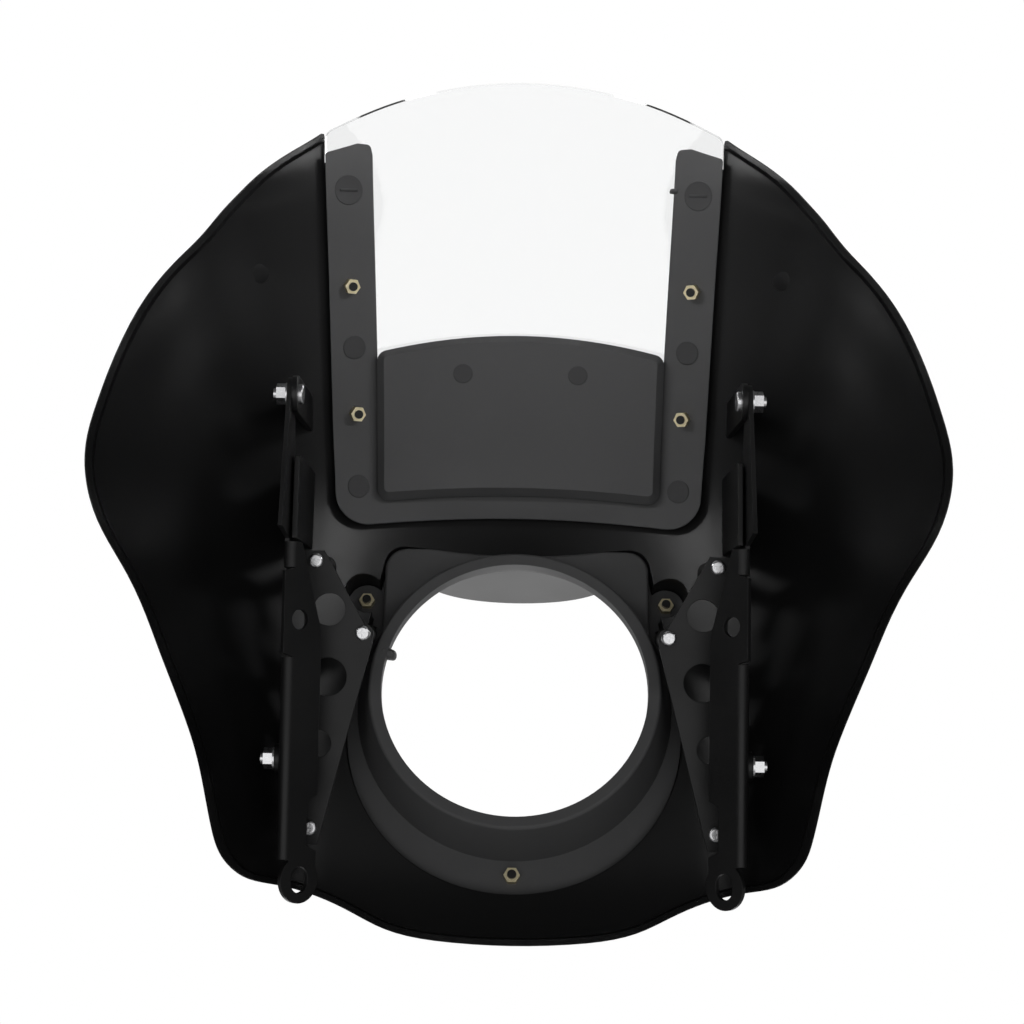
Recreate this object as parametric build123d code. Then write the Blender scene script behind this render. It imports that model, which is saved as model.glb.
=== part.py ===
from build123d import *
import math
import os

# Headlight cowl, drawn in millimetres with its brackets upright: X across, +Y forward, +Z up.
# The finished pieces are leaned by the rake, so the lamp axis ends up level along +Y
# and the centre of the lamp bore, at the rear of its ring, ends up at the origin.

# Lamp opening and its surround, measured along the lamp axis
rake = 20
bore_radius = 75
ring_radius = 82
ring_base_radius = 91
bore_length = 8
seat_depth = 38
flange_thick = 3
lamp_hole_radius = 88.5
keystone_radius = 95.5
keystone_drop = 15
shoulder_half_width = 77.6
shoulder_top = 95.4
shoulder_radius = 13
shoulder_rise = 14
top_dip_radius = 350
top_dip_height = 91.6
lobe_x = 88
lobe_z = 64.4
lobe_radius = 11
low_screw_drop = 99
pocket_clearance = 0.5

# Peak over the lamp
peak_height = 88.8
peak_arch = 400
peak_half_width = 58
peak_reach = 90.5
peak_thick = 3

# Shell skin: height, reach to the rim, rim y and fullness of the section
skin_stations = [
    (-145, 150, -73, 7.0),
    (-96, 150, -73, 7.0),
    (-28, 172, -70, 5.0),
    (55, 206, -75, 3.0),
    (112, 230, -82.5, 2.4),
    (222, 197, -51, 2.3),
    (312, 122, -12, 2.2),
    (360, 122, -26, 2.2),
]
pocket_step = 8
screen_lean = 16
screen_root = 105.6
brow_blend = 6
chin_start = -85
chin_curl = 17
flute_depth = 14
flute_width = 26
flute_low = (144, 91)
flute_high = (180, 243)
wall = 3
lip = 6

# Right half of the shell outline from the wing tip down to the chin
outline_right = [
    (115.5, 311), (143.5, 286.5), (165, 257.5), (179, 236.5), (194, 218.5), (209.5, 190),
    (222, 150), (227.5, 112), (220.5, 84), (204.5, 55), (187, 15), (170, -27.5), (155, -76),
    (148.5, -94), (140.8, -103.2), (127, -108.5), (107.7, -114.5), (88, -122.5), (70, -130.3),
    (35, -136.5), (0, -137.8),
]

# Windscreen and its retainer
seat_gap = 0.2
screen_thick = 3.2
screen_top = 347.8
screen_corner = (113.7, 312.5)
screen_foot = (103.5, 106)
retainer_thick = 3
leg_outer_top = (113, 300.4)
leg_crown = (95.5, 308)
leg_inner_top = (87.1, 303)
leg_inner_low = (82.8, 195)
leg_outer_low = (108.5, 147.4)
foot_corner = (105.6, 91)
foot_round = 18
foot_middle = 100
foot_ledge = 13
panel_top_side = 193
panel_top = 206
panel_low_side = 107.5
panel_low = 113.4
panel_raise = 8
panel_bevel = 4.5
panel_round = 7
panel_wall = 4.5
notch_margin = 2
screen_screw_at = [(101.3, 230.9), (98.1, 159.2)]

# Brackets, one folded sheet each; the right one is drawn
sheet = 2.5
base_y = -14
base_top = 73.6
base_foot = -88
base_head_x = 107
base_waist_x = 117.5
base_low_x = 119
base_nose = (79, 24.5)
bracket_x = 126
riser_y = -45
fold_radius = 1.5
web_angle = 134
web_width = 18.6
web_shoulder = 28
relief_span = (-90, -60)
relief_depth = 6.5
riser_span = (-94, 13.8)
tab_span = (62, 76)
base_fold_low = -20
arm_heel = (-80, 82)
web_hole = (3.8, 34, 5.5)
web_slot = (7.9, -105, 14, 11)
web_lug_radius = 12.5
arm_bolt = (-46.5, 156.5)
arm_radius = 9
lug_bolt = (-34, -41)
bracket_screw_at = [(111.6, 67.9), (84.7, 28.1), (111.4, -78.9)]
base_holes = [(103.6, 41, 9), (103.7, 3.8, 10.6), (108.4, -33, 7.6)]

# Lugs and bosses of the shell
lug_thick = 3
upper_lug_radius = 10
lower_lug_radius = 8
rib_gap = 1.5
rib_low = (-48, 78)
rib_high = (-45, 123)
boss_radius = 5.5
boss_root = 7

# Fasteners
m5 = 2.5
m6 = 3
tapping = 2.1
fit = 0.15

lean = math.radians(rake)
standing = (Align.CENTER, Align.CENTER, Align.MIN)


def smooth(column, z):
    # monotone curve through one column of the skin stations
    zs = [station[0] for station in skin_stations]
    vs = [station[column] for station in skin_stations]
    z = min(max(z, zs[0]), zs[-1])
    steps = [(vs[i + 1] - vs[i]) / (zs[i + 1] - zs[i]) for i in range(len(zs) - 1)]
    slopes = [0.0]
    for before, after in zip(steps, steps[1:]):
        slopes.append(2 * before * after / (before + after) if before * after > 0 else 0.0)
    slopes.append(0.0)
    i = max(k for k in range(len(zs) - 1) if zs[k] <= z)
    span = zs[i + 1] - zs[i]
    t = (z - zs[i]) / span
    start = (1 + 2 * t) * (1 - t) ** 2 * vs[i] + t * (1 - t) ** 2 * span * slopes[i]
    return start + t * t * (3 - 2 * t) * vs[i + 1] + t * t * (t - 1) * span * slopes[i + 1]


def skin(x, z):
    # inner face of the shell: y at a place across and up
    face = seat_depth / math.cos(lean) + z * math.tan(lean) - pocket_step
    screen = screen_root - z * math.tan(math.radians(screen_lean))
    crest = (face + screen) / 2 - math.hypot((face - screen) / 2, brow_blend)
    crest -= chin_curl * max(0, (chin_start - z) / 50) ** 3
    y = crest - (crest - smooth(2, z)) * (abs(x) / smooth(1, z)) ** smooth(3, z)
    along = (z - flute_low[1]) / (flute_high[1] - flute_low[1])
    ridge = flute_low[0] + along * (flute_high[0] - flute_low[0])
    fade = min(max(along + 0.35, 0), 1)
    flute = math.exp(-(((abs(x) - ridge) / flute_width) ** 2))
    return y - flute_depth * flute * fade * fade * (3 - 2 * fade)


def skin_normal(x, z):
    across = (skin(x + 0.5, z) - skin(x - 0.5, z))
    upward = (skin(x, z + 0.5) - skin(x, z - 0.5))
    return Vector(-across, 1, -upward)


def skin_face(out):
    # the skin moved outward by a wall thickness measured square to it
    grid = []
    for row in range(33):
        z = skin_stations[0][0] + row * (skin_stations[-1][0] - skin_stations[0][0]) / 32
        line = []
        for column in range(29):
            x = (column / 14 - 1) * 1.07 * smooth(1, z)
            line.append(Vector(x, skin(x, z) + out * skin_normal(x, z).length, z))
        grid.append(line)
    return Face.make_surface_from_array_of_points(grid, tol=0.1, min_deg=3, max_deg=3)


def rearward(face, start, depth):
    # solid between two copies of a skin face, both behind it
    return Solid.extrude(Pos(0, -start, 0) * face, Vector(0, -depth, 0))


def prism(shape):
    return extrude(Plane.XZ * shape, 400, both=True)


def inset(points, distance):
    # points of the right half moved inward, square to the run of the outline
    moved = []
    for i, (x, z) in enumerate(points):
        before = points[max(i - 1, 0)]
        after = points[i + 1] if i + 1 < len(points) else (-before[0], before[1])
        across = after[0] - before[0]
        upward = after[1] - before[1]
        run = math.hypot(across, upward)
        moved.append((x + distance * upward / run, z - distance * across / run))
    return moved


def loop(points):
    # closed face from the right half of an outline
    side = Spline(*points, tangents=[(1, -0.85), (-1, 0)], tangent_scalars=[1, 1])
    top = Line((-points[0][0], points[0][1]), points[0])
    return Face(Wire([*side.edges(), *mirrored(side).edges(), *top.edges()]))


def both_sides(right):
    return list(right) + [(-x, z) for x, z in reversed(right) if x > 0]


def polygon(points):
    return make_face(Polyline(*points, close=True))


def lamp_plane(depth):
    # plane square to the lamp axis, facing the rear, with its y upward
    forward = (0, depth * math.cos(lean), -depth * math.sin(lean))
    return Plane(forward, x_dir=(1, 0, 0), z_dir=(0, -math.cos(lean), math.sin(lean)))


def keystone(grow):
    # outline shared by the surround flange and the pocket it sits in
    disc = Pos(0, -keystone_drop) * Rot(0, 0, 90) * Circle(keystone_radius + grow)
    corner_x = shoulder_half_width - shoulder_radius
    corner_y = shoulder_top - shoulder_radius
    corners = [Pos(side * corner_x, corner_y) * Circle(shoulder_radius + grow) for side in (-1, 1)]
    edges = disc.edges() + corners[0].edges() + corners[1].edges()
    body = make_hull(edges) - Pos(0, top_dip_height + top_dip_radius) * Circle(top_dip_radius - grow)
    for side in (-1, 1):
        body += Pos(side * lobe_x, lobe_z) * Circle(lobe_radius + grow)
    return body


def nut(across_flats, thick, hole):
    return extrude(RegularPolygon(across_flats / 2, 6, major_radius=False) - Circle(hole), thick)


def screw(head, height, shank, length, socket):
    # head above the seat plane, shank below it, with a hexagon socket
    body = Pos(0, 0, height / 2) * Cylinder(head, height)
    body = fillet(body.edges().group_by(Axis.Z)[-1], height * 0.4)
    body -= Pos(0, 0, height * 0.4) * extrude(RegularPolygon(socket, 6), height)
    return body + Pos(0, 0, -length / 2) * Cylinder(shank, length)


def cross_screw(head, height, shank, length):
    # pan head with a cross recess
    body = Pos(0, 0, height / 2) * Cylinder(head, height)
    body = fillet(body.edges().group_by(Axis.Z)[-1], height * 0.6)
    for angle in (0, 90):
        body -= Pos(0, 0, height) * Rot(0, 0, angle) * Box(head * 1.1, 1.1, 2.4)
    return body + Pos(0, 0, -length / 2) * Cylinder(shank, length)


def group(shapes):
    total = shapes[0]
    for shape in shapes[1:]:
        total += shape
    return total


def mirrored(shape):
    return mirror(shape, about=Plane.YZ)


# Shared faces
inner = skin_face(0)
middle = skin_face(wall / 2)
outer = skin_face(wall)
behind_middle = rearward(middle, 0, 200)
ahead_of_middle = Solid.extrude(middle, Vector(0, 200, 0))

# Shell: curved wall with a rearward lip round its outline
rim = (rearward(outer, 0, 220) & prism(loop(outline_right))) - rearward(inner, lip, 260)
shell = rim - (rearward(inner, 0, lip + 5) & prism(loop(inset(outline_right, wall))))

# Shell: notch that the windscreen fills, cut inside the retainer legs
notch = polygon(both_sides([
    (leg_outer_top[0] + 1, 420),
    (leg_outer_top[0] + 1, leg_outer_top[1] - 4),
    (leg_inner_top[0] + notch_margin, leg_outer_top[1] - 4),
    (leg_inner_low[0] + notch_margin - 2, screen_foot[1] + 18),
    (leg_inner_low[0] - 15, screen_foot[1] + 3),
]))
shell -= prism(notch)

# Shell: pocket that takes the surround, standing forward of the skin
nacelle = extrude(lamp_plane(seat_depth + wall) * keystone(wall), 80)
front_face = nacelle.faces().sort_by(Axis((0, 0, 0), tuple(lamp_plane(0).z_dir)))[0]
nacelle = fillet(front_face.edges(), 2)
shell += nacelle & ahead_of_middle
shell -= extrude(lamp_plane(seat_depth) * keystone(pocket_clearance), 80)
shell -= extrude(lamp_plane(seat_depth + 20) * Circle(lamp_hole_radius), 60)

# Shell: peak above the lamp
arch = Pos(0, peak_height - peak_arch) * (Circle(peak_arch + peak_thick) - Circle(peak_arch))
arch &= Pos(0, peak_height) * Rectangle(2 * peak_half_width, 60)
peak = extrude(lamp_plane(peak_reach) * arch, peak_reach - seat_depth - wall / 2)
plan = Plane((0, 0, 0), x_dir=(1, 0, 0), z_dir=(0, math.sin(lean), math.cos(lean)))
cap = Pos(0, seat_depth) * Ellipse(peak_half_width, peak_reach - seat_depth)
peak &= extrude(plan * cap, 300, both=True)
shell += peak

# Shell: bosses under the bracket screws, lugs and rib beside the risers
towers = []
for x, z in bracket_screw_at:
    boss = Cone(boss_radius, boss_root, 90, align=standing)
    towers.append(Plane((x, base_y, z), z_dir=(0, 1, 0)).location * boss)
lug_x = bracket_x - sheet - lug_thick
lug_plane = Plane((lug_x, 0, 0), x_dir=(0, 1, 0), z_dir=(1, 0, 0))
upper_lug = Pos(*arm_bolt) * (Circle(upper_lug_radius) + Pos(60, 0) * Rectangle(120, 2 * upper_lug_radius))
lower_lug = Pos(*lug_bolt) * (Circle(lower_lug_radius) + Pos(60, 0) * Rectangle(120, 2 * lower_lug_radius))
rib = polygon([rib_low, rib_high, (90, rib_high[1]), (90, rib_low[1])])
for tongue, x in ((upper_lug, 0), (lower_lug, lug_thick + sheet + 0.05), (rib, -rib_gap)):
    towers.append(Pos(x, 0, 0) * extrude(lug_plane * tongue, lug_thick))
surround_room = extrude(lamp_plane(seat_depth) * Circle(ring_base_radius + 1.5), seat_depth)
shoulder_room = Rectangle(2 * shoulder_half_width + 1, 2 * shoulder_top)
surround_room += extrude(lamp_plane(seat_depth) * shoulder_room, shoulder_rise + 0.5)
for tower in towers:
    tower = (tower & behind_middle) - surround_room
    shell += tower
    shell += mirrored(tower)

# Windscreen: clear sheet against the inside of the notch
left_corner = (-screen_corner[0], screen_corner[1])
left_foot = (-screen_foot[0], screen_foot[1])
crown = ThreePointArc(left_corner, (0, screen_top), screen_corner)
glazing = make_face(crown + Polyline(screen_corner, screen_foot, left_foot, left_corner))
glazing = fillet(glazing.vertices().group_by(Axis.Y)[-1], 7)
glazing = fillet(glazing.vertices().group_by(Axis.Y)[0], 9)
windscreen = rearward(inner, seat_gap, screen_thick) & prism(glazing)

# Retainer: U-shaped frame behind the windscreen
retainer_start = 2 * seat_gap + screen_thick
leg = [leg_crown, leg_outer_top, leg_outer_low, foot_corner]
leg_left = [(-x, z) for x, z in leg]
foot = ThreePointArc(foot_corner, (0, foot_middle), leg_left[-1])
frame = make_face(Polyline(*leg) + foot + Polyline(*leg_left) + Line(leg_left[0], leg_crown))
opening = polygon([
    leg_inner_top,
    (leg_crown[0] - 6, leg_crown[1] + 5),
    (6 - leg_crown[0], leg_crown[1] + 5),
    (-leg_inner_top[0], leg_inner_top[1]),
    (-leg_inner_low[0] + 1, panel_low_side + foot_ledge),
    (leg_inner_low[0] - 1, panel_low_side + foot_ledge),
])
frame -= opening
frame = fillet(frame.vertices().filter_by(lambda v: v.Y > leg_inner_top[1] - 5), 2.5)
frame = fillet(frame.vertices().group_by(Axis.Y)[0], foot_round)
retainer = rearward(inner, retainer_start, retainer_thick) & prism(frame)

# Retainer: hollow raised panel between the legs
panel_x = leg_inner_low[0] + 1
panel_top_arc = ThreePointArc((-panel_x, panel_top_side), (0, panel_top), (panel_x, panel_top_side))
low_x = panel_x - 1
panel_low_arc = ThreePointArc((-low_x, panel_low_side), (0, panel_low), (low_x, panel_low_side))
panel_side = Line((panel_x, panel_top_side), (low_x, panel_low_side))
panel_face = make_face(panel_top_arc + panel_side + panel_low_arc + mirrored(panel_side))
panel_face = fillet(panel_face.vertices(), panel_round)
panel = rearward(inner, retainer_start + 0.6, retainer_thick + panel_raise - 0.6) & prism(panel_face)
panel = chamfer(panel.faces().sort_by(Axis.Y)[0].edges(), panel_bevel)
panel -= rearward(inner, retainer_start - 1, panel_raise + 1) & prism(offset(panel_face, -panel_wall))
retainer += panel

# Surround: keystone flange with a flared ring facing the rear
ring = polygon([
    (ring_base_radius, 0.1),
    (ring_radius, seat_depth),
    (bore_radius, seat_depth),
    (bore_radius, seat_depth - bore_length),
    (ring_radius - 2.5, seat_depth - bore_length - 1),
    (ring_base_radius - 3, 0.1),
])
ring = fillet(ring.vertices().group_by(Axis.Y)[-1].sort_by(Axis.X)[-1], 2)
surround = lamp_plane(seat_depth).location * revolve(Plane.XZ * ring, Axis.Z)
flange = keystone(0) - Circle(ring_base_radius - 3)
surround += extrude(lamp_plane(seat_depth - 0.1) * flange, flange_thick)
saddle = keystone(0) & Pos(0, shoulder_top / 2) * Rectangle(2 * shoulder_half_width, shoulder_top)
saddle = extrude(saddle, shoulder_rise)
saddle = fillet(saddle.edges().group_by(Axis.Z)[-1], 2)
saddle -= Cone(ring_base_radius - 1.5, ring_base_radius - 4.8, shoulder_rise, align=standing)
surround += lamp_plane(seat_depth - 0.1).location * saddle

# Screws and nuts that hold the surround in its pocket
surround_screws = []
surround_nuts = []
for x, y in ((lobe_x, lobe_z), (-lobe_x, lobe_z), (0, -low_screw_drop)):
    front = lamp_plane(seat_depth + wall).location * Pos(x, y, 0)
    hole = front * Cylinder(m5 + fit, 40)
    shell -= hole
    surround -= hole
    grip = wall + 0.1 + flange_thick
    surround_screws.append(front * Rot(0, 180, 0) * screw(4.7, 2.8, m5, grip + 6, 1.7))
    surround_nuts.append(front * Pos(0, 0, grip + 0.05) * nut(8, 4, m5 + 0.05))

# Screws, washers and nuts that clamp the windscreen between shell and retainer
screen_screws = []
screen_washers = []
screen_nuts = []
for x, z in screen_screw_at:
    normal = skin_normal(x, z).normalized()
    place = Plane((x, skin(x, z), z), z_dir=normal).location
    hole = place * Cylinder(m5 + fit, 40)
    back = (retainer_start + retainer_thick) * normal.Y + 0.3
    washer = place * Pos(0, 0, wall + 0.1) * extrude(Circle(5.5) - Circle(m5 + fit), 1)
    bolt = place * Pos(0, 0, wall + 1.15) * screw(4.7, 2.8, m5, wall + 1.15 + back + 5, 1.7)
    hexagon = place * Pos(0, 0, -back - 4) * nut(8, 4, m5 + 0.05)
    for turned in (lambda shape: shape, mirrored):
        shell -= turned(hole)
        windscreen -= turned(hole)
        retainer -= turned(hole)
        screen_washers.append(turned(washer))
        screen_screws.append(turned(bolt))
        screen_nuts.append(turned(hexagon))

# Bracket: base plate behind the lamp pocket
fold_x = bracket_x - sheet - fold_radius
base = polygon([
    (base_head_x, base_top),
    (fold_x, base_top),
    (fold_x, tab_span[0]),
    (base_waist_x, tab_span[0] - 2),
    (base_waist_x, riser_span[1] + 2),
    (fold_x, riser_span[1]),
    (fold_x, base_fold_low),
    (base_low_x, base_fold_low - 2),
    (base_low_x, base_foot + 4),
    (base_low_x - 5, base_foot),
    (base_head_x, base_foot),
    base_nose,
])
base = fillet(base.vertices().sort_by(Axis.X)[0], 6)
for x, z, radius in base_holes:
    base -= Pos(x, z) * Circle(radius)
for x, z in bracket_screw_at:
    base -= Pos(x, z) * Circle(tapping + fit)
bracket = extrude(Plane((0, base_y, 0), x_dir=(1, 0, 0), z_dir=(0, -1, 0)) * base, sheet)

# Bracket: folds along the base and along the web
fold_out = fold_radius + sheet
riser_front = base_y - fold_out
fold_ring = Circle(fold_out) - Circle(fold_radius)
quarter = fold_ring & Pos(fold_out, fold_out) * Rectangle(2 * fold_out, 2 * fold_out)
for low, high in ((tab_span[0], base_top), (base_fold_low, riser_span[1])):
    bracket += extrude(Plane((fold_x, riser_front, low)) * quarter, high - low)
sweep = math.radians(-web_angle)
far = 4 * fold_out
sector = polygon([(0, 0), (far, 0), (far, -far), (far * math.cos(sweep), far * math.sin(sweep))])
for low, high in (tab_span, riser_span):
    bracket += extrude(Plane((fold_x, riser_y, low)) * (fold_ring & sector), high - low)

# Bracket: riser with the arm above it
riser = polygon([
    (riser_y, riser_span[0]),
    (riser_y + 10, riser_span[0]),
    (riser_front, riser_span[0] + 30),
    (riser_front, riser_span[1]),
    (riser_y, riser_span[1]),
])
arm = polygon([
    (riser_front, tab_span[0]),
    (riser_y, tab_span[0]),
    (riser_y, tab_span[1] + 2),
    arm_heel,
    (arm_bolt[0] - 0.95 * arm_radius, arm_bolt[1] + 0.31 * arm_radius),
    (arm_bolt[0] + arm_radius, arm_bolt[1]),
    (riser_front, arm_heel[1] + 18),
])
arm += Pos(*arm_bolt) * Circle(arm_radius)
arm -= Pos(*arm_bolt) * Circle(m6 + fit)
riser -= Pos(*lug_bolt) * Circle(m6 + fit)
riser_plane = Plane((bracket_x - sheet, 0, 0), x_dir=(0, 1, 0), z_dir=(1, 0, 0))
bracket += extrude(riser_plane * riser, sheet)
bracket += extrude(riser_plane * arm, sheet)

# Bracket: inclined web with its hole, screwdriver relief and slotted lug
web = polygon([
    (0, riser_span[0]),
    (0, riser_span[1]),
    (-7, riser_span[1] + 2),
    (-7, tab_span[0] - 2),
    (0, tab_span[0]),
    (0, tab_span[1]),
    (4, tab_span[1]),
    (web_width, web_shoulder),
    (web_width, relief_span[1]),
    (web_width - relief_depth, relief_span[1] - 3),
    (web_width - relief_depth, relief_span[0] + 3),
    (web_width, relief_span[0]),
    (web_width, web_slot[1]),
    (web_slot[0], web_slot[1]),
])
web += Pos(web_slot[0], web_slot[1]) * Circle(web_lug_radius)
web -= Pos(web_hole[0], web_hole[1]) * Circle(web_hole[2])
web -= Pos(web_slot[0], web_slot[1]) * Rot(0, 0, 90) * SlotOverall(web_slot[2], web_slot[3])
radial = Vector(math.cos(sweep), math.sin(sweep), 0)
web_start = Vector(fold_x, riser_y, 0) + radial * fold_out
web_plane = Plane(web_start, x_dir=(math.sin(sweep), -math.cos(sweep), 0), z_dir=-radial)
bracket += extrude(web_plane * web, sheet)

# Bracket screws into the bosses, and bolts through the lugs
bracket_screws = []
for x, z in bracket_screw_at:
    pilot = Plane((x, base_y, z), z_dir=(0, 1, 0)).location * extrude(Circle(tapping + 0.05), 7)
    shell -= pilot
    shell -= mirrored(pilot)
    seat = Plane((x, base_y - sheet - 0.05, z), z_dir=(0, -1, 0)).location
    bracket_screws.append(seat * cross_screw(4.2, 2.8, tapping, sheet + 6))
lug_bolts = []
lug_washers = []
lug_nuts = []
for x, (y, z) in ((lug_x, arm_bolt), (bracket_x - sheet, lug_bolt)):
    inboard = Plane((x, y, z), z_dir=(-1, 0, 0)).location
    hole = inboard * Cylinder(m6 + fit, 14)
    shell -= hole
    shell -= mirrored(hole)
    grip = lug_thick + sheet + 0.05
    lug_bolts.append(inboard * Pos(0, 0, 0.05) * screw(5.5, 2.8, m6, grip + 8, 2))
    lug_washers.append(inboard * Pos(0, 0, -grip - 1.2) * extrude(Circle(6.2) - Circle(m6 + fit), 1.2))
    lug_nuts.append(inboard * Pos(0, 0, -grip - 6.25) * nut(10, 5, m6 + 0.05))

# Named pieces, leaned so that the lamp axis is level
nodes = {
    "cowl_shell": shell,
    "windscreen": windscreen,
    "screen_retainer": retainer,
    "headlight_surround": surround,
    "screen_screws": group(screen_screws),
    "screen_washers": group(screen_washers),
    "screen_nuts": group(screen_nuts),
    "surround_screws": group(surround_screws),
    "surround_nuts": group(surround_nuts),
}
pairs = {
    "bracket": bracket,
    "bracket_screws": group(bracket_screws),
    "lug_bolts": group(lug_bolts),
    "lug_washers": group(lug_washers),
    "lug_nuts": group(lug_nuts),
}
for name, shape in pairs.items():
    nodes["right_" + name] = shape
    nodes["left_" + name] = mirrored(shape)
os.makedirs("parts", exist_ok=True)
for name, shape in nodes.items():
    print(name, round(shape.volume), "mm3 in", len(shape.solids()), "solids")
    export_step(Rot(rake, 0, 0) * shape, "parts/" + name + ".step")
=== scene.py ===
import bmesh
import bpy
import math
from mathutils import Matrix, Vector


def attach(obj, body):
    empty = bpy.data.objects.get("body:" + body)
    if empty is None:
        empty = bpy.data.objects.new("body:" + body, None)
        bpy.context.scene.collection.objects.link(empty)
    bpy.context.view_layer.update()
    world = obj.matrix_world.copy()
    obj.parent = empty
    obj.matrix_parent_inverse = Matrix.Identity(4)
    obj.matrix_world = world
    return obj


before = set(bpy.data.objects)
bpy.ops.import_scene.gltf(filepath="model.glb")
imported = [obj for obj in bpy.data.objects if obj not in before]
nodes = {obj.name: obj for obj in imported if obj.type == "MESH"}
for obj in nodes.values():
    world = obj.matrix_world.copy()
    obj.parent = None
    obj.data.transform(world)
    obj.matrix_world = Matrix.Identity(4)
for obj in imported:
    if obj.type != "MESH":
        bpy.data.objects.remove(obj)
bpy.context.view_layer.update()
print("frame loaded:", len(nodes), "nodes")

rake = math.radians(20)  # the brackets lean back by this


def fromFork(x, y, z):  # bracket-upright millimetres to metres in the part's frame
    c, s = math.cos(rake), math.sin(rake)
    return Vector((x, y * c - z * s, y * s + z * c)) / 1000


# shader helpers

def newMaterial(name):
    mat = bpy.data.materials.new(name)
    mat.use_nodes = True
    tree = mat.node_tree
    return mat, tree, tree.nodes["Principled BSDF"]


def setSockets(node, values):
    for name, value in values.items():
        node.inputs[name].default_value = value


def addNode(tree, kind, place=(0, 0), **props):
    node = tree.nodes.new(kind)
    node.location = place
    for key, value in props.items():
        setattr(node, key, value)
    return node


def join(tree, links):  # each link: a node, its output, the next node, its input
    for source, output, target, socket in links:
        tree.links.new(source.outputs[output], target.inputs[socket])


def newGroup(name, inputs, outputs):
    tree = bpy.data.node_groups.new(name, "ShaderNodeTree")
    kind = "NodeSocketFloat"
    for label, value in inputs.items():
        socket = tree.interface.new_socket(name=label, in_out="INPUT", socket_type=kind)
        socket.default_value = value
    for label in outputs:
        tree.interface.new_socket(name=label, in_out="OUTPUT", socket_type=kind)
    groupIn = addNode(tree, "NodeGroupInput", (-800, 0))
    groupOut = addNode(tree, "NodeGroupOutput", (600, 0))
    return tree, groupIn, groupOut


def placeGroup(tree, group, place, values):
    node = addNode(tree, "ShaderNodeGroup", place, node_tree=group)
    setSockets(node, values)
    return node


# moulded grain: fine pebbling with a slow cloud over it
grainSettings = {
    "pebbles": {"Detail": 3.0, "Roughness": 0.6},
    "clouds": {"Detail": 4.0, "Roughness": 0.55},
}
grain, grainIn, grainOut = newGroup(
    "mouldedGrain", {"Pebble Scale": 1800.0, "Cloud Scale": 14.0}, ["Height", "Cloud"])
coords = addNode(grain, "ShaderNodeTexCoord", (-800, 200))
pebbles = addNode(grain, "ShaderNodeTexNoise", (-400, 200))
setSockets(pebbles, grainSettings["pebbles"])
clouds = addNode(grain, "ShaderNodeTexNoise", (-400, -100))
setSockets(clouds, grainSettings["clouds"])
join(grain, [
    (coords, "Object", pebbles, "Vector"),
    (coords, "Object", clouds, "Vector"),
    (grainIn, "Pebble Scale", pebbles, "Scale"),
    (grainIn, "Cloud Scale", clouds, "Scale"),
    (pebbles, "Fac", grainOut, "Height"),
    (clouds, "Fac", grainOut, "Cloud"),
])

# dust: pale flecks, more of them on faces turned up
dustSettings = {
    "facing": {"From Min": -0.2, "From Max": 1.0, "To Min": 0.15, "To Max": 1.0},
    "flecks": {"Detail": 6.0, "Roughness": 0.7},
    "fleckCut": {"From Min": 0.52, "From Max": 0.75},
}
dust, dustIn, dustOut = newGroup(
    "settledDust", {"Fleck Scale": 260.0, "Amount": 0.5}, ["Mask"])
dustCoords = addNode(dust, "ShaderNodeTexCoord", (-800, 200))
dustGeo = addNode(dust, "ShaderNodeNewGeometry", (-800, -200))
dustUp = addNode(dust, "ShaderNodeSeparateXYZ", (-600, -200))
dustUpRange = addNode(dust, "ShaderNodeMapRange", (-400, -200))
setSockets(dustUpRange, dustSettings["facing"])
flecks = addNode(dust, "ShaderNodeTexNoise", (-400, 200))
setSockets(flecks, dustSettings["flecks"])
fleckRange = addNode(dust, "ShaderNodeMapRange", (-200, 200))
setSockets(fleckRange, dustSettings["fleckCut"])
dustTimes = addNode(dust, "ShaderNodeMath", (0, 0), operation="MULTIPLY")
dustAmount = addNode(dust, "ShaderNodeMath", (200, 0), operation="MULTIPLY")
join(dust, [
    (dustCoords, "Object", flecks, "Vector"),
    (dustIn, "Fleck Scale", flecks, "Scale"),
    (flecks, "Fac", fleckRange, "Value"),
    (dustGeo, "Normal", dustUp, "Vector"),
    (dustUp, "Z", dustUpRange, "Value"),
    (fleckRange, "Result", dustTimes, 0),
    (dustUpRange, "Result", dustTimes, 1),
    (dustTimes, "Value", dustAmount, 0),
    (dustIn, "Amount", dustAmount, 1),
    (dustAmount, "Value", dustOut, "Mask"),
])
print("node groups ready")


def mixColour(tree, place, low, high):
    node = addNode(tree, "ShaderNodeMix", place, data_type="RGBA")
    setSockets(node, {"A": low, "B": high})
    return node


noiseMiddle = {"From Min": 0.3, "From Max": 0.7}  # most values of a noise lie in here


def spread(tree, place, low, high):  # stretches the middle of a noise over a range
    node = addNode(tree, "ShaderNodeMapRange", place)
    setSockets(node, {**noiseMiddle, "To Min": low, "To Max": high})
    return node


plasticBase = {"ior": 1.5, "relief": 0.0002, "roughBy": "Cloud", "cornerSamples": 4}
metalBase = {"relief": 0.0001, "roughBy": "Height"}


def grainedMaterial(name, settings, base):  # tone, roughness and bump from the grain
    mat, tree, bsdf = newMaterial(name)
    mark = placeGroup(tree, grain, (-700, 0), {
        "Pebble Scale": settings["pebble"], "Cloud Scale": settings["cloud"]})
    tone = mixColour(tree, (-450, 200), settings["dark"], settings["light"])
    rough = spread(tree, (-450, -100), *settings["rough"])
    bump = addNode(tree, "ShaderNodeBump", (-220, -250))
    setSockets(bump, {"Strength": settings["bump"], "Distance": base["relief"]})
    join(tree, [
        (mark, "Cloud", tone, "Factor"),
        (mark, base["roughBy"], rough, "Value"),
        (rough, "Result", bsdf, "Roughness"),
        (mark, "Height", bump, "Height"),
        (bump, "Normal", bsdf, "Normal"),
    ])
    return mat, tree, bsdf, tone, bump


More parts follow.
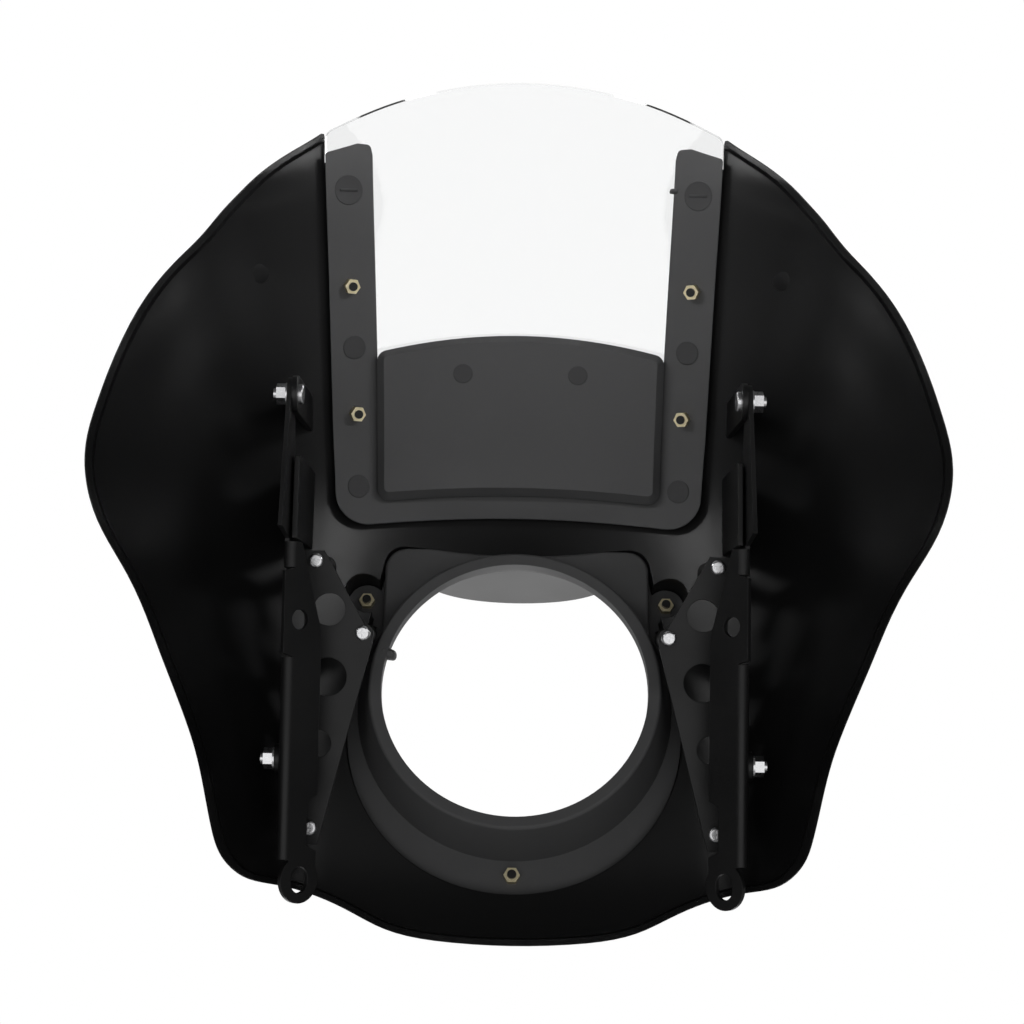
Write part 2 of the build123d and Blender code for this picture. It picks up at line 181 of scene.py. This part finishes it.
def plasticMaterial(name, settings):
    mat, tree, bsdf, tone, bump = grainedMaterial(name, settings, plasticBase)
    setSockets(bsdf, {"Specular IOR Level": settings["specular"], "IOR": plasticBase["ior"]})
    veil = placeGroup(tree, dust, (-700, -300), {
        "Fleck Scale": settings["fleck"], "Amount": settings["dust"]})
    dusted = mixColour(tree, (-220, 200), settings["dark"], settings["dustTone"])
    corner = addNode(tree, "ShaderNodeBevel", (-450, -450), samples=plasticBase["cornerSamples"])
    setSockets(corner, {"Radius": settings["edge"]})  # rounds the corners to the eye
    join(tree, [
        (corner, "Normal", bump, "Normal"),
        (tone, "Result", dusted, "A"),
        (veil, "Mask", dusted, "Factor"),
        (dusted, "Result", bsdf, "Base Color"),
    ])
    return mat


def metalMaterial(name, settings):
    mat, tree, bsdf, tone, _ = grainedMaterial(name, settings, metalBase)
    setSockets(bsdf, {"Metallic": settings["metallic"]})
    join(tree, [(tone, "Result", bsdf, "Base Color")])
    return mat


# finishes
shellFinish = {
    "specular": 0.3, "pebble": 900.0, "cloud": 9.0, "fleck": 420.0, "dust": 0.01, "edge": 0.0011,
    "dark": (0.0038, 0.0038, 0.004, 1), "light": (0.006, 0.006, 0.0062, 1),
    "dustTone": (0.2, 0.2, 0.2, 1), "rough": (0.34, 0.43), "bump": 0.06,
}
retainerFinish = {
    "specular": 0.4, "pebble": 1500.0, "cloud": 22.0, "fleck": 70.0, "dust": 0.1, "edge": 0.0007,
    "dark": (0.042, 0.042, 0.043, 1), "light": (0.055, 0.055, 0.056, 1),
    "dustTone": (0.25, 0.25, 0.25, 1), "rough": (0.55, 0.7), "bump": 0.2,
}
surroundFinish = dict(
    retainerFinish, cloud=17.0, dark=(0.046, 0.046, 0.047, 1), light=(0.06, 0.06, 0.061, 1))
markFinish = dict(
    retainerFinish, dark=(0.023, 0.023, 0.024, 1), light=(0.03, 0.03, 0.031, 1))
washerFinish = dict(
    retainerFinish, dark=(0.01, 0.01, 0.01, 1), light=(0.016, 0.016, 0.016, 1), dust=0.03)
bracketFinish = {
    "specular": 0.26, "pebble": 1100.0, "cloud": 30.0, "fleck": 500.0, "dust": 0.02,
    "edge": 0.0006, "dark": (0.005, 0.005, 0.0052, 1), "light": (0.008, 0.008, 0.0082, 1),
    "dustTone": (0.2, 0.2, 0.2, 1), "rough": (0.36, 0.48), "bump": 0.35,
}
steelFinish = {
    "metallic": 1.0, "pebble": 2600.0, "cloud": 160.0, "dark": (0.5, 0.5, 0.51, 1),
    "light": (0.68, 0.68, 0.69, 1), "rough": (0.22, 0.36), "bump": 0.12,
}
brassFinish = {
    "metallic": 1.0, "pebble": 2400.0, "cloud": 180.0, "dark": (0.7, 0.6, 0.36, 1),
    "light": (0.9, 0.82, 0.58, 1), "rough": (0.32, 0.46), "bump": 0.12,
}
blackScrewFinish = {
    "metallic": 0.6, "pebble": 2200.0, "cloud": 150.0, "dark": (0.014, 0.014, 0.014, 1),
    "light": (0.026, 0.026, 0.026, 1), "rough": (0.32, 0.5), "bump": 0.12,
}

shellPlastic = plasticMaterial("shellPlastic", shellFinish)
retainerPlastic = plasticMaterial("retainerPlastic", retainerFinish)
surroundPlastic = plasticMaterial("surroundPlastic", surroundFinish)
washerPlastic = plasticMaterial("washerPlastic", washerFinish)
markPlastic = plasticMaterial("markPlastic", markFinish)
bracketPaint = plasticMaterial("bracketPaint", bracketFinish)
brightSteel = metalMaterial("brightSteel", steelFinish)
brassNut = metalMaterial("brassNut", brassFinish)
blackScrew = metalMaterial("blackScrew", blackScrewFinish)

# clear sheet of the windscreen
screenFinish = {
    "tint": (0.88, 0.884, 0.884, 1), "ior": 1.49, "rough": (0.01, 0.03),
    "pebble": 60.0, "cloud": 7.0,
}
clearScreen, screenTree, screenBsdf = newMaterial("clearScreen")
setSockets(screenBsdf, {
    "Base Color": screenFinish["tint"], "Transmission Weight": 1.0, "IOR": screenFinish["ior"]})
screenMark = placeGroup(screenTree, grain, (-700, 0), {
    "Pebble Scale": screenFinish["pebble"], "Cloud Scale": screenFinish["cloud"]})
screenRough = spread(screenTree, (-450, -100), *screenFinish["rough"])
join(screenTree, [
    (screenMark, "Cloud", screenRough, "Value"),
    (screenRough, "Result", screenBsdf, "Roughness"),
])

finishes = {
    "cowl_shell": shellPlastic, "windscreen": clearScreen, "screen_retainer": retainerPlastic,
    "headlight_surround": surroundPlastic, "screen_screws": blackScrew,
    "screen_washers": washerPlastic, "screen_nuts": brassNut, "surround_screws": blackScrew,
    "surround_nuts": brassNut,
}
for hand in ("left_", "right_"):
    finishes[hand + "bracket"] = bracketPaint
    for name in ("bracket_screws", "lug_bolts", "lug_washers", "lug_nuts"):
        finishes[hand + name] = brightSteel
for name, mat in finishes.items():
    for spot in nodes[name].material_slots:
        spot.material = mat
print("materials assigned")

# small moulding marks, set on the rear faces by casting a ray from behind
rayStart = -300  # millimetres, well behind the part
sharpAngle = math.radians(40)
hands = {-1: "Left", 1: "Right"}


def behind(node, x, z):  # first point met on a node going forward, and its normal
    deps = bpy.context.evaluated_depsgraph_get()
    piece = nodes[node]
    back = piece.matrix_world.inverted()
    start = back @ fromFork(x, rayStart, z)
    way = (back @ fromFork(x, 0, z) - start).normalized()
    hit, spot, normal, _ = piece.ray_cast(start, way, depsgraph=deps)
    if not hit:
        raise ValueError(f"no surface of {node} at {x}, {z}")
    return piece.matrix_world @ spot, (piece.matrix_world.to_3x3() @ normal).normalized()


def addPiece(name, bm, matrix, mat):  # the place goes into the mesh
    mesh = bpy.data.meshes.new(name)
    bm.transform(matrix)
    bm.to_mesh(mesh)
    bm.free()
    for poly in mesh.polygons:
        poly.use_smooth = True
    mesh.set_sharp_from_angle(angle=sharpAngle)
    piece = bpy.data.objects.new(name, mesh)
    mesh.materials.append(mat)
    bpy.context.collection.objects.link(piece)
    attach(piece, "root")


def onSurface(spot, normal, sink):  # z along the normal, x level across
    across = Vector((1, 0, 0))
    across = (across - normal * across.dot(normal)).normalized()
    turned = Matrix((across, normal.cross(across), normal)).transposed().to_4x4()
    return Matrix.Translation(spot - normal * sink) @ turned


def roundEdges(bm, edges, offset):
    bmesh.ops.bevel(
        bm, geom=edges, offset=offset, offset_type="OFFSET", affect="EDGES", segments=3,
        profile=0.5, material=-1)


def softDisc(mark):  # stands on z = 0, with a rounded top edge
    bm = bmesh.new()
    radius, height = mark["radius"], mark["height"]
    made = bmesh.ops.create_cone(
        bm, cap_ends=True, segments=48, radius1=radius, radius2=radius, depth=height)
    bmesh.ops.translate(bm, verts=made["verts"], vec=(0, 0, height / 2))
    rim = [e for e in bm.edges if all(v.co.z > height / 2 for v in e.verts)]
    roundEdges(bm, rim, mark["edge"])
    return bm


def dishedDisc(mark):
    bm = softDisc(mark)
    top = max(bm.faces, key=lambda f: f.calc_center_median().z)
    bmesh.ops.inset_individual(bm, faces=[top], thickness=mark["rim"], depth=-mark["dish"])
    return bm


ejectorSettings = {  # left by ejector pins: spots in bracket-upright mm, the rest in metres
    "legLow": {"spots": [(96.8, 195.2), (93.9, 116.1)], "radius": 0.0068, "height": 0.0007,
               "edge": 0.0002, "rim": 0.0012, "dish": 0.00012, "sink": 0.0001},
    "panel": {"spots": [(33.7, 183)], "radius": 0.0057, "height": 0.0006,
              "edge": 0.0002, "rim": 0.001, "dish": 0.00012, "sink": 0.0003},
}
for name, mark in ejectorSettings.items():
    for number, (x, z) in enumerate(mark["spots"]):
        for side, hand in hands.items():
            spot, normal = behind("screen_retainer", side * x, z)
            addPiece(f"ejector{hand}{name}{number}", dishedDisc(mark),
                     onSurface(spot, normal, mark["sink"]), markPlastic)

barSettings = {  # a ring with a bar across it, at the top of each leg
    "spot": (100, 281.5), "radius": 0.0085, "height": 0.0006, "edge": 0.0002, "rim": 0.0007,
    "dish": 0.00012, "sink": 0.0003, "bar": (0.0105, 0.0011, 0.00096), "barLevel": 0.00042,
}
barShape = Matrix.Translation((0, 0, barSettings["barLevel"])) @ Matrix.Diagonal(
    (*barSettings["bar"], 1))
for side, hand in hands.items():
    bm = dishedDisc(barSettings)
    made = bmesh.ops.create_cube(bm, size=1)
    bmesh.ops.transform(bm, matrix=barShape, verts=made["verts"])
    x, z = barSettings["spot"]
    spot, normal = behind("screen_retainer", side * x, z)
    addPiece(f"barMark{hand}", bm, onSurface(spot, normal, barSettings["sink"]),
             markPlastic)

wingMarkSettings = {
    "spots": {"Left": (-148, 232), "Right": (147, 233)}, "radius": 0.0075, "height": 0.0006,
    "edge": 0.0003, "sink": 0.00048,
}
for hand, (x, z) in wingMarkSettings["spots"].items():
    spot, normal = behind("cowl_shell", x, z)
    addPiece(f"wingMark{hand}", softDisc(wingMarkSettings),
             onSurface(spot, normal, wingMarkSettings["sink"]), shellPlastic)

stubSettings = {  # shares of a stub's radius, and of its length from the middle up
    "taper": 0.75, "tornEdge": 0.3, "tornFrom": 0.45,
}


def gateStub(name, settings, matrix, mat):  # torn-off end of a moulding gate
    bm = bmesh.new()
    radius, length = settings["radius"], settings["length"]
    bmesh.ops.create_cone(
        bm, cap_ends=True, segments=20, radius1=radius, radius2=radius * stubSettings["taper"],
        depth=length)
    sides = [e for e in bm.edges if e.verts[0].co.z * e.verts[1].co.z < 0]
    bmesh.ops.subdivide_edges(bm, edges=sides, cuts=2)
    torn = [e for e in bm.edges
            if all(v.co.z > length * stubSettings["tornFrom"] for v in e.verts)]
    roundEdges(bm, torn, radius * stubSettings["tornEdge"])
    for v in bm.verts:
        v.co.x *= settings["squeeze"]
        v.co.z += settings["lean"] * v.co.y
    addPiece(name, bm, matrix, mat)


def turnedAt(spot, angle):
    return Matrix.Translation(spot) @ Matrix.Rotation(angle, 4, "Y")


legStubSettings = {  # on the inner edge of the right leg
    "spot": (89, 285), "sink": 0.0016, "shift": 0.0035, "radius": 0.0021, "length": 0.0038,
    "squeeze": 0.8, "lean": 0.25,
}
spot, normal = behind("screen_retainer", *legStubSettings["spot"])
foot = spot - normal * legStubSettings["sink"] - Vector((legStubSettings["shift"], 0, 0))
gateStub("legGateStub", legStubSettings, turnedAt(foot, -math.pi / 2),
         retainerPlastic)

ringStubSettings = {  # inside the ring, on its left
    "turn": 164.5, "bore": 0.075, "sink": 0.0012, "depth": 0.004, "radius": 0.0043,
    "length": 0.0062, "squeeze": 0.85, "lean": 0.3,
}
turn = math.radians(ringStubSettings["turn"])
outward = Vector((math.cos(turn), 0, math.sin(turn)))
foot = outward * (ringStubSettings["bore"] - ringStubSettings["sink"])
foot.y = ringStubSettings["depth"]
gateStub("ringGateStub", ringStubSettings, turnedAt(foot, -turn - math.pi / 2),
         surroundPlastic)
print("moulding marks set")

# floor, well below the part, which hangs on its brackets
floorSettings = {
    "size": 60.0, "level": -1.9, "tone": (0.82, 0.82, 0.82, 1), "rough": 0.9,
    "glowTone": (1, 1, 1, 1), "glow": 0.75,
}
floorMesh = bpy.data.meshes.new("floor")
bm = bmesh.new()
bmesh.ops.create_grid(bm, x_segments=1, y_segments=1, size=floorSettings["size"] / 2)
bmesh.ops.translate(bm, verts=bm.verts, vec=(0, 0, floorSettings["level"]))
bm.to_mesh(floorMesh)
bm.free()
floor = bpy.data.objects.new("floor", floorMesh)
bpy.context.collection.objects.link(floor)
floorPaint, floorTree, floorBsdf = newMaterial("floorPaint")
setSockets(floorBsdf, {
    "Base Color": floorSettings["tone"], "Roughness": floorSettings["rough"],
    "Emission Color": floorSettings["glowTone"]})
floorPaths = addNode(floorTree, "ShaderNodeLightPath", (-600, 0))
floorSeen = addNode(floorTree, "ShaderNodeMath", (-400, 0), operation="MAXIMUM")
floorGlow = addNode(floorTree, "ShaderNodeMath", (-200, 0), operation="MULTIPLY")
setSockets(floorGlow, {1: floorSettings["glow"]})  # pale to the eye, no light on the part
join(floorTree, [
    (floorPaths, "Is Camera Ray", floorSeen, 0),
    (floorPaths, "Is Transmission Ray", floorSeen, 1),
    (floorSeen, "Value", floorGlow, 0),
    (floorGlow, "Value", floorBsdf, "Emission Strength"),
])
floorMesh.materials.append(floorPaint)

# soft lamps: the high pair has grids, which keep the foot of the cowl dark
lampSettings = {
    "highLeft": {"place": (-1.4, -1.2, 0.7), "aim": (0, 0, 0.6), "size": (1.8, 0.5),
                 "power": 4.4, "grid": 34},
    "highRight": {"place": (1.4, -1.2, 0.7), "aim": (0, 0, 0.6), "size": (1.8, 0.5),
                  "power": 4.4, "grid": 34},
    "lowPanel": {"place": (0, -1.8, -0.85), "aim": (0, 0, 0.12), "size": (2.8, 1.7),
                 "power": 17, "grid": 180},
    "frontPanel": {"place": (0, 1.3, -0.8), "aim": (0, 0, 0.05), "size": (1.6, 1.0),
                   "power": 13, "grid": 180},
    "frontKey": {"place": (1.0, 1.3, 1.2), "aim": (0, 0, 0.05), "size": (1.0, 1.0),
                 "power": 16, "grid": 180},
}
for name, lamp in lampSettings.items():
    light = bpy.data.lights.new(name, "AREA")
    light.shape = "RECTANGLE"
    light.size, light.size_y = lamp["size"]
    light.energy = lamp["power"]
    light.spread = math.radians(lamp["grid"])
    holder = bpy.data.objects.new(name, light)
    holder.location = lamp["place"]
    aim = Vector(lamp["aim"]) - Vector(lamp["place"])
    holder.rotation_euler = aim.to_track_quat("-Z", "Y").to_euler()
    bpy.context.collection.objects.link(holder)

# world: white to the camera and through the glass; to other rays a white sweep in front of the
# part and a dim room behind it
worldSettings = {"tone": (1, 1, 1, 1), "seen": 1.0, "room": 0.08, "sweep": 1.0}
world = bpy.data.worlds.new("studio")
bpy.context.scene.world = world
world.use_nodes = True
worldTree = world.node_tree
fill = worldTree.nodes["Background"]
setSockets(fill, {"Color": worldSettings["tone"]})
toward = addNode(worldTree, "ShaderNodeTexCoord", (-800, 0))
forward = addNode(worldTree, "ShaderNodeSeparateXYZ", (-600, 0))
sweep = addNode(worldTree, "ShaderNodeMapRange", (-400, 0))
setSockets(sweep, {"To Min": worldSettings["room"], "To Max": worldSettings["sweep"]})
seen = addNode(worldTree, "ShaderNodeBackground", (0, 200))
setSockets(seen, {"Color": worldSettings["tone"], "Strength": worldSettings["seen"]})
paths = addNode(worldTree, "ShaderNodeLightPath", (-400, 300))
direct = addNode(worldTree, "ShaderNodeMath", (-200, 300), operation="MAXIMUM")
mixSky = addNode(worldTree, "ShaderNodeMixShader", (200, 100))
join(worldTree, [
    (toward, "Generated", forward, "Vector"),
    (forward, "Y", sweep, "Value"),
    (sweep, "Result", fill, "Strength"),
    (paths, "Is Camera Ray", direct, 0),
    (paths, "Is Transmission Ray", direct, 1),
    (direct, "Value", mixSky, "Fac"),
    (fill, "Background", mixSky, 1),
    (seen, "Background", mixSky, 2),
    (mixSky, "Shader", worldTree.nodes["World Output"], "Surface"),
])
print("floor, lamps and world ready")

# camera: behind and below the lamp, looking up, a degree of roll
cameraSettings = {
    "place": (0, -1.0547, -0.3922), "pitch": 25.4, "roll": 1.0, "lens": 70.3125, "sensor": 36,
    "shift": -6 / 1024,
}
cameraData = bpy.data.cameras.new("photoCamera")
cameraData.sensor_width = cameraSettings["sensor"]
cameraData.lens = cameraSettings["lens"]
cameraData.shift_x = cameraSettings["shift"]
camera = bpy.data.objects.new("photoCamera", cameraData)
bpy.context.collection.objects.link(camera)
pitch, roll = math.radians(cameraSettings["pitch"]), math.radians(cameraSettings["roll"])
camera.matrix_world = (
    Matrix.Translation(cameraSettings["place"])
    @ Matrix.Rotation(pitch + math.pi / 2, 4, "X")
    @ Matrix.Rotation(roll, 4, "Z"))
bpy.context.scene.camera = camera
bpy.context.scene.view_settings.view_transform = "Standard"

print("scene ready")
